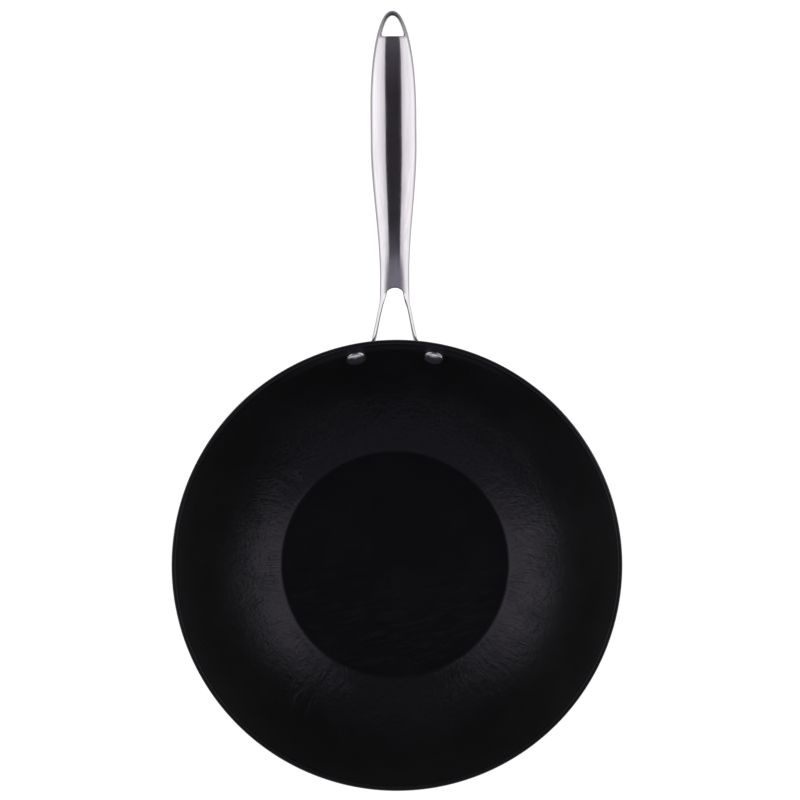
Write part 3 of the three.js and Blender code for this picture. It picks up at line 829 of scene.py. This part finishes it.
class Shader:
    """Short calls that add and join the nodes of one material or world."""

    def __init__(self, owner):
        """Starts with an empty tree."""
        owner.use_nodes = True
        self.owner = owner
        self.tree = owner.node_tree
        self.tree.nodes.clear()

    def node(self, kind, **settings):
        """A node of a kind, with its settings."""
        made = self.tree.nodes.new("ShaderNode" + kind)
        for key, value in settings.items():
            setattr(made, key, value)
        return made

    def feed(self, node, **inputs):
        """Sets a node's inputs by name, or by number as i0, i1 and so on; another node's output is joined."""
        for key, value in inputs.items():
            numbered = key[0] == "i" and key[1:].isdigit()
            socket = node.inputs[int(key[1:]) if numbered else key.replace("_", " ")]
            if isinstance(value, bpy.types.NodeSocket):
                self.tree.links.new(value, socket)
            else:
                socket.default_value = value
        return node

    def out(self, kind, *values, **settings):
        """First output of a new node, by its inputs in order and its settings."""
        inputs = {"i%d" % number: value for number, value in enumerate(values)}
        return self.feed(self.node(kind, **settings), **inputs).outputs[0]

    def math(self, operation, first, *others):
        """An operation on a value and each further one in turn."""
        for other in others or (0.0,):
            first = self.out("Math", first, other, operation=operation)
        return first

    def times(self, *values):
        """Product of values."""
        return self.math("MULTIPLY", *values)

    def most(self, *values):
        """Greatest of values."""
        return self.math("MAXIMUM", *values)

    def ramp(self, value, low, high, to_low=0.0, to_high=1.0):
        """Eases a value between two limits to another pair."""
        return self.out("MapRange", value, low, high, to_low, to_high, interpolation_type="SMOOTHSTEP")

    def noise(self, vector, scale, detail=2.0, roughness=0.5, distortion=0.0):
        """Noise between about 0.3 and 0.7."""
        node = self.node("TexNoise", noise_dimensions="3D")
        self.feed(node, Vector=vector, Scale=scale, Detail=detail, Roughness=roughness, Distortion=distortion)
        return node.outputs[0]

    def stretched(self, vector, scale, turn=(0.0, 0.0, 0.0)):
        """A vector scaled on each axis, then turned."""
        return self.feed(self.node("Mapping"), Vector=vector, Rotation=turn, Scale=scale).outputs[0]

    def turned(self, vector, angle):
        """A vector turned about the upright axis."""
        node = self.node("VectorRotate", rotation_type="Z_AXIS")
        return self.feed(node, Vector=vector, Angle=angle).outputs[0]

    def object_place(self):
        """The place on the object."""
        return self.node("TexCoord").outputs["Object"]

    def split(self, vector):
        """The three numbers of a vector."""
        return self.feed(self.node("SeparateXYZ"), i0=vector).outputs

    def joined(self, x, y, z=0.0):
        """A vector of three numbers."""
        return self.out("CombineXYZ", x, y, z)

    def size_of(self, vector):
        """Length of a vector."""
        return self.feed(self.node("VectorMath", operation="LENGTH"), i0=vector).outputs["Value"]

    def way_of(self, vector):
        """A vector brought to length 1."""
        return self.out("VectorMath", vector, operation="NORMALIZE")

    def bump(self, height, distance, strength, normal=None):
        """A normal tilted by a height, on top of another one."""
        node = self.feed(self.node("Bump"), Height=height, Distance=distance, Strength=strength)
        if normal is not None:
            self.feed(node, Normal=normal)
        return node.outputs[0]

    def mix(self, share, a, b):
        """A colour between two colours."""
        return self.out("MixRGB", share, a, b)

    def surface(self, shader, out="OutputMaterial"):
        """Joins the last shader to the output and gives back the material or world."""
        self.feed(self.node(out), Surface=shader.outputs[0])
        return self.owner


def black_coating(scene):
    """Satin black coating: grain all over, radial folds and scratches on the lower wall, streaks on the base,
    and paler fibres on the folds that are painted highlights of the wrinkles.

    The folds come in clumps, fewer to the right and at the top and bottom, stronger below left and right.
    The gloss is dimmed on the upper wall at the sides through the specular tint, a painted shade, and is
    duller under the rim beside the handle.
    """
    base = scene.wok_bowl.base_radius
    dark = scene.wok_finishes.coating
    sh = Shader(bpy.data.materials.new("satin_black_coating"))
    place = sh.object_place()
    x, y, z = sh.split(place)
    flat = sh.joined(x, y)
    far = sh.size_of(flat)
    drift = sh.times(sh.math("SUBTRACT", sh.noise(place, 24.0, 1.0), 0.5), 0.35)
    round_x, round_y, _ = sh.split(sh.turned(sh.way_of(flat), drift))
    polar = sh.joined(round_x, round_y, sh.times(far, 1.6))

    folds = sh.noise(sh.stretched(polar, (40, 40, 30)), 1.0, 2.0, 0.5, 0.9)
    ridges = sh.ramp(sh.math("ABSOLUTE", sh.math("SUBTRACT", folds, 0.5)), 0.0, 0.09, 1.0, 0.0)
    scratches = sh.noise(sh.stretched(polar, (120, 120, 36)), 1.0, 2.0, 0.6, 0.8)
    peel = sh.noise(place, 330.0, 1.0, 0.5, 0.5)
    streaks = sh.noise(sh.stretched(sh.turned(place, -0.2), (42, 330, 42)), 1.0, 4.0, 0.6, 0.6)
    grain = sh.noise(place, 1500.0, 2.0, 0.6)
    cloud = sh.noise(place, 26.0, 3.0, 0.6)
    specks = sh.feed(sh.node("TexVoronoi"), Vector=place, Scale=90.0).outputs["Distance"]

    inside = sh.ramp(z, 0.0008, 0.0018)
    low_wall = sh.times(sh.ramp(far, base - 0.002, base + 0.004), sh.ramp(far, 0.096, 0.126, 1.0, 0.0))
    on_wall = sh.times(low_wall, inside)
    on_base = sh.times(sh.ramp(far, base - 0.006, base - 0.001, 1.0, 0.0), inside)
    clumps = sh.times(sh.ramp(sh.noise(place, 34.0, 2.0), 0.40, 0.60), sh.ramp(x, -0.08, 0.09, 1.0, 0.5))
    clumps = sh.times(clumps, sh.ramp(round_y, -0.985, -0.9, 0.15, 1.0))
    clumps = sh.times(clumps, sh.ramp(round_y, -0.8, -0.4, 1.9, 1.0))
    folded = sh.times(on_wall, clumps, sh.ramp(round_y, 0.75, 0.95, 1.0, 0.4))

    bump = sh.bump(ridges, 0.0001, folded)
    bump = sh.bump(peel, 0.0003, sh.times(on_wall, 0.8), bump)
    bump = sh.bump(scratches, 0.0003, sh.times(on_wall, 0.6), bump)
    bump = sh.bump(streaks, 0.0004, sh.times(on_base, 0.4), bump)
    bump = sh.bump(grain, 0.00004, 0.25, bump)

    lines = sh.times(sh.ramp(streaks, 0.44, 0.72), on_base, sh.ramp(y, -0.05, 0.02, 0.5, 0.12))
    # Painted highlights: paler fibres on the folds stand for the wrinkles' highlights; the base's streaks and
    # the specks share their pale colour
    fibre_highlights = sh.times(sh.ramp(scratches, 0.56, 0.68), folded)
    pale = sh.most(lines, fibre_highlights, sh.ramp(specks, 0.02, 0.05, 1.0, 0.0))
    tint = sh.mix(sh.ramp(cloud, 0.35, 0.7), opaque(dark), opaque(dark, 1.15))
    tint = sh.mix(pale, tint, opaque(dark, 2.4))

    rough = sh.math("ADD", sh.ramp(cloud, 0.3, 0.7, 0.20, 0.25), sh.ramp(grain, 0.3, 0.7, -0.02, 0.02))
    throat = sh.times(sh.ramp(far, 0.1425, 0.1445), sh.ramp(far, 0.1472, 0.1480, 1.0, 0.0))
    rough = sh.math("ADD", rough, sh.times(throat, sh.ramp(round_y, 0.86, 0.95, 0.0, 0.3)))

    # Painted shade in the gloss: the specular tint is dimmed by up to 0.6 on the upper wall at the sides
    high = sh.ramp(sh.math("SUBTRACT", far, sh.times(x, 0.04)), 0.088, 0.113)
    lean = sh.math("ADD", round_y, sh.times(round_x, 0.25))
    beside = sh.ramp(sh.math("ABSOLUTE", round_x), 0.3, 0.8)
    gloss_painted_shade = sh.times(high, beside, sh.ramp(lean, 0.3, 0.7, 0.6, 0.0))
    sheen = sh.mix(gloss_painted_shade, opaque(scene.wok_finishes.sheen), BLACK)

    coat = sh.node("BsdfPrincipled")
    sh.feed(coat, Base_Color=tint, Roughness=rough, Normal=bump, Specular_IOR_Level=0.42, Specular_Tint=sheen)
    return sh.surface(coat)


def brushed_steel(scene):
    """Steel brushed along the handle: fine lines in bump and roughness, rougher flanks painted darker as
    shade, and cut edges painted dark as shade.
    """
    base, edge = scene.wok_finishes.steel, scene.wok_finishes.edge
    sh = Shader(bpy.data.materials.new("brushed_steel"))
    place = sh.object_place()
    lines = sh.noise(sh.stretched(place, (2600, 9, 2600)), 1.0, 3.0, 0.65)
    broad = sh.noise(sh.stretched(place, (420, 5, 420)), 1.0, 2.0, 0.5)
    smear = sh.noise(place, 60.0, 3.0, 0.6)
    dull = sh.node("Attribute", attribute_name="dull").outputs["Fac"]
    bump = sh.bump(broad, 0.00006, 0.2, sh.bump(lines, 0.00003, 0.35))
    rough = sh.math("ADD", sh.ramp(lines, 0.3, 0.7, 0.10, 0.16), sh.ramp(smear, 0.35, 0.7, 0.0, 0.03))
    rough = sh.math("ADD", rough, sh.times(dull, 0.16))
    tint = sh.mix(sh.ramp(broad, 0.3, 0.7), opaque(base), opaque(base, 0.9))
    # Painted shade: where dull is 1 the steel takes the darker edge colour, and past 1, on the fork's cut
    # edge and the tip, darker still
    tint = sh.mix(dull, tint, opaque(edge))
    tint = sh.mix(sh.ramp(dull, 1.0, 2.0), tint, opaque(edge, 0.35))
    metal = sh.node("BsdfPrincipled")
    return sh.surface(sh.feed(metal, Base_Color=tint, Metallic=1.0, Roughness=rough, Normal=bump))


def polished_steel(scene):
    """Polished rivet steel with faint dents and fine scratches from setting."""
    base = scene.wok_finishes.rivet
    sh = Shader(bpy.data.materials.new("polished_rivet_steel"))
    place = sh.object_place()
    dents = sh.noise(place, 330.0, 2.0, 0.5)
    scratches = sh.noise(sh.stretched(place, (900, 2600, 2600), (0.3, 0.2, 0.5)), 1.0, 3.0, 0.6)
    bump = sh.bump(scratches, 0.00004, 0.3, sh.bump(dents, 0.0004, 0.2))
    rough = sh.ramp(scratches, 0.3, 0.7, 0.16, 0.24)
    tint = sh.mix(sh.ramp(dents, 0.35, 0.65), opaque(base), opaque(base, 0.8))
    metal = sh.node("BsdfPrincipled")
    return sh.surface(sh.feed(metal, Base_Color=tint, Metallic=0.98, Roughness=rough, Normal=bump))


def seen_directly(sh):
    """1 for rays from the camera, off gloss or through glass, which see the plain background."""
    path = sh.node("LightPath")
    return sh.most(*(path.outputs["Is %s Ray" % kind] for kind in ("Camera", "Glossy", "Transmission")))


def pale_floor(scene):
    """White floor: a dull surface that takes the shadow, with a plain glow where it is seen directly."""
    stage = scene.wok_stage
    sh = Shader(bpy.data.materials.new("pale_floor"))
    dull = sh.feed(sh.node("BsdfDiffuse"), Color=opaque(scene.wok_finishes.floor))
    far = sh.size_of(sh.object_place())
    light = sh.ramp(far, 1.0, 3.5, stage.floor_glow, stage.floor_glow + stage.far_glow)
    glow = sh.feed(sh.node("Emission"), Strength=sh.times(seen_directly(sh), light))
    return sh.surface(sh.feed(sh.node("AddShader"), i0=dull.outputs[0], i1=glow.outputs[0]))


def studio_panels():
    """Bright panels left and right, dark above, dim ahead and behind, and a low strip of light ahead.

    All limits are shares of the direction from the wok: x across, y along the handle, z up.
    """
    sh = Shader(bpy.data.materials.new("studio_panels"))
    x, y, z = sh.split(sh.way_of(sh.object_place()))
    aside = sh.math("ABSOLUTE", x)
    panel = sh.times(sh.ramp(aside, 0.475, 0.515), sh.ramp(aside, 0.5, 0.97, 0.785, 1.13))
    panel = sh.times(panel, sh.ramp(y, -0.44, -0.24), sh.ramp(y, 0.56, 0.78, 1.0, 0.0))
    panel = sh.times(panel, sh.math("SUBTRACT", 1.0, sh.times(x, 0.025)))
    dim = sh.math("ADD", sh.ramp(y, -0.43, -0.26, 0.22, 0.028), sh.ramp(y, 0.1, 0.8, 0.0, 0.09))
    strip = sh.times(sh.ramp(z, 0.17, 0.25, 1.0, 0.0), sh.ramp(y, -0.55, -0.35, 1.0, 0.0))
    tint = sh.mix(sh.ramp(panel, 0.1, 0.5), (0.94, 0.905, 1.055, 1.0), WHITE)
    return sh.surface(sh.feed(sh.node("Emission"), Color=tint, Strength=sh.most(panel, dim, strip)))


def white_room(stage):
    """White where it is seen directly, and an even light on dull surfaces."""
    sh = Shader(bpy.data.worlds.new("white_room"))
    light = stage.room_light
    strength = sh.math("ADD", sh.times(seen_directly(sh), 1.0 - light), light)
    return sh.surface(sh.feed(sh.node("Background"), Color=WHITE, Strength=strength), "OutputWorld")


# Operators


class WOK_OT_make_bowl(bpy.types.Operator):
    """Makes the black bowl as one turned surface"""

    bl_idname = "wok.make_bowl"
    bl_label = "Black bowl"

    def execute(self, context):
        scene = context.scene
        bowl, _ = forms(scene)
        rings, quads = bowl.surface(scene.wok_bowl.wrinkle_depth)
        mesh = make_mesh("black_bowl", rings, quads)
        place_piece("black_bowl", mesh, black_coating(scene), "wok_bowl")
        return {"FINISHED"}


class WOK_OT_make_handle(bpy.types.Operator):
    """Makes the brushed handle as one bent sheet with rounded edges"""

    bl_idname = "wok.make_handle"
    bl_label = "Brushed handle"

    def execute(self, context):
        scene = context.scene
        bowl, rivets = forms(scene)
        points, quads, dull = HandleForm(scene.wok_handle, rivets, bowl).surface()
        mesh = make_mesh("brushed_handle", points, quads, dull=dull)
        place_piece("brushed_handle", mesh, brushed_steel(scene), "long_handle")
        return {"FINISHED"}


class WOK_OT_make_rivets(bpy.types.Operator):
    """Makes the two polished rivets"""

    bl_idname = "wok.make_rivets"
    bl_label = "Polished rivets"

    def execute(self, context):
        scene = context.scene
        material = polished_steel(scene)
        _, rivets = forms(scene)
        for name, node, side in (("left", "left_rivet", -1), ("right", "right_rivet", 1)):
            rings, quads = rivets.surface(side)
            mesh = make_mesh("polished_rivet_" + name, rings, quads)
            place_piece("polished_rivet_" + name, mesh, material, node)
        return {"FINISHED"}


class WOK_OT_make_stage(bpy.types.Operator):
    """Makes the floor, the room light, the side lamps, the reflected panels and the camera"""

    bl_idname = "wok.make_stage"
    bl_label = "Stage"

    # The floor lies a little under the wok, and the dome has so many steps up and round
    FLOOR_Z = -0.2 * MM
    DOME_UP, DOME_ROUND = 25, 96

    def execute(self, context):
        scene = context.scene
        stage = scene.wok_stage
        scene.view_settings.view_transform = "Standard"
        scene.world = white_room(stage)
        self.floor(scene, stage)
        self.dome(scene, stage)
        self.lamps(scene, stage)
        self.camera(scene, stage)
        return {"FINISHED"}

    def add(self, scene, name, data):
        """Puts data into the scene as an object."""
        made = bpy.data.objects.new(name, data)
        scene.collection.objects.link(made)
        return made

    def backdrop(self, scene, name, points, quads, material):
        """A surface of the stage, seen from its inner side."""
        mesh = bpy.data.meshes.new(name)
        mesh.from_pydata(points.reshape(-1, 3).tolist(), [], quads[:, ::-1].tolist())
        mesh.materials.append(material)
        made = self.add(scene, name, mesh)
        return made

    def floor(self, scene, stage):
        """A level square under the wok."""
        side = np.array([-stage.floor_reach, stage.floor_reach])
        points = vectors(side[:, None], side[None, :], self.FLOOR_Z)
        self.backdrop(scene, "floor", points, grid_quads(2, 2), pale_floor(scene))

    def dome(self, scene, stage):
        """Half a ball far round the wok, seen only in reflections, that carries the panels."""
        rise = np.linspace(0.0, math.pi / 2, self.DOME_UP)[:, None]
        turn = full_turn(self.DOME_ROUND)
        flat = np.cos(rise)
        points = stage.dome_radius * vectors(flat * np.cos(turn), flat * np.sin(turn), np.sin(rise))
        quads = grid_quads(self.DOME_UP, self.DOME_ROUND, wrap=True)
        dome = self.backdrop(scene, "studio_dome", points, quads, studio_panels())
        dome.visible_camera = dome.visible_diffuse = False
        dome.visible_shadow = dome.visible_transmission = False

    def lamps(self, scene, stage):
        """Two wide soft lamps, left and right."""
        x, y, z = stage.lamp_place
        for name, side in (("left_lamp", -1), ("right_lamp", 1)):
            data = bpy.data.lights.new(name, "AREA")
            data.shape = "RECTANGLE"
            data.size, data.size_y = stage.lamp_width, stage.lamp_height
            data.energy = stage.lamp_power * (1 - stage.lamp_lean * side)
            lamp = self.add(scene, name, data)
            lamp.location = (side * x, y, z)
            lamp.rotation_euler = (Vector(stage.lamp_aim) - lamp.location).to_track_quat("-Z", "Y").to_euler()
            lamp.visible_glossy = False

    def camera(self, scene, stage):
        """Looks from its place at its target, then turns by the roll about its own axis."""
        place, target = Vector(stage.camera), Vector(stage.target)
        ahead = (target - place).normalized()
        right = ahead.cross(Vector((0, 1, 0))).normalized()
        up = right.cross(ahead)
        c, s = math.cos(stage.roll), math.sin(stage.roll)
        across, above = c * right + s * up, c * up - s * right
        data = bpy.data.cameras.new("camera")
        data.lens = stage.lens
        data.sensor_width = 36.0
        camera = self.add(scene, "camera", data)
        turn = Matrix((across, above, -ahead)).transposed()
        camera.matrix_world = Matrix.Translation(place) @ turn.to_4x4()
        scene.camera = camera


class WOK_PT_panel(bpy.types.Panel):
    """Lists the wok's pieces and sizes in the sidebar"""

    bl_idname = "WOK_PT_panel"
    bl_label = "Long-handled wok"
    bl_space_type = "VIEW_3D"
    bl_region_type = "UI"
    bl_category = "Wok"

    def draw(self, context):
        """One button for each operator, and one box for each group of sizes."""
        for operator in OPERATORS:
            self.layout.operator(operator.bl_idname)
        for name, group in GROUPS.items():
            box = self.layout.box()
            box.label(text=group.__doc__)
            for key in group.__annotations__:
                box.prop(getattr(context.scene, name), key)


OPERATORS = (WOK_OT_make_bowl, WOK_OT_make_handle, WOK_OT_make_rivets, WOK_OT_make_stage)
GROUPS = {
    "wok_bowl": WokBowlSizes,
    "wok_handle": WokHandleSizes,
    "wok_rivets": WokRivetSizes,
    "wok_finishes": WokFinishes,
    "wok_stage": WokStage,
}
CLASSES = (*GROUPS.values(), *OPERATORS, WOK_PT_panel)


def register():
    """Registers the classes and hangs the groups of sizes on the scene."""
    for cls in CLASSES:
        bpy.utils.register_class(cls)
    for name, cls in GROUPS.items():
        setattr(bpy.types.Scene, name, PointerProperty(type=cls))


def unregister():
    """Takes everything off again."""
    for name in GROUPS:
        delattr(bpy.types.Scene, name)
    for cls in reversed(CLASSES):
        bpy.utils.unregister_class(cls)


def main():
    """Makes the stage and the pieces."""
    register()
    bpy.ops.wok.make_stage()
    bpy.ops.wok.make_bowl()
    bpy.ops.wok.make_handle()
    bpy.ops.wok.make_rivets()


if __name__ == "__main__":
    main()
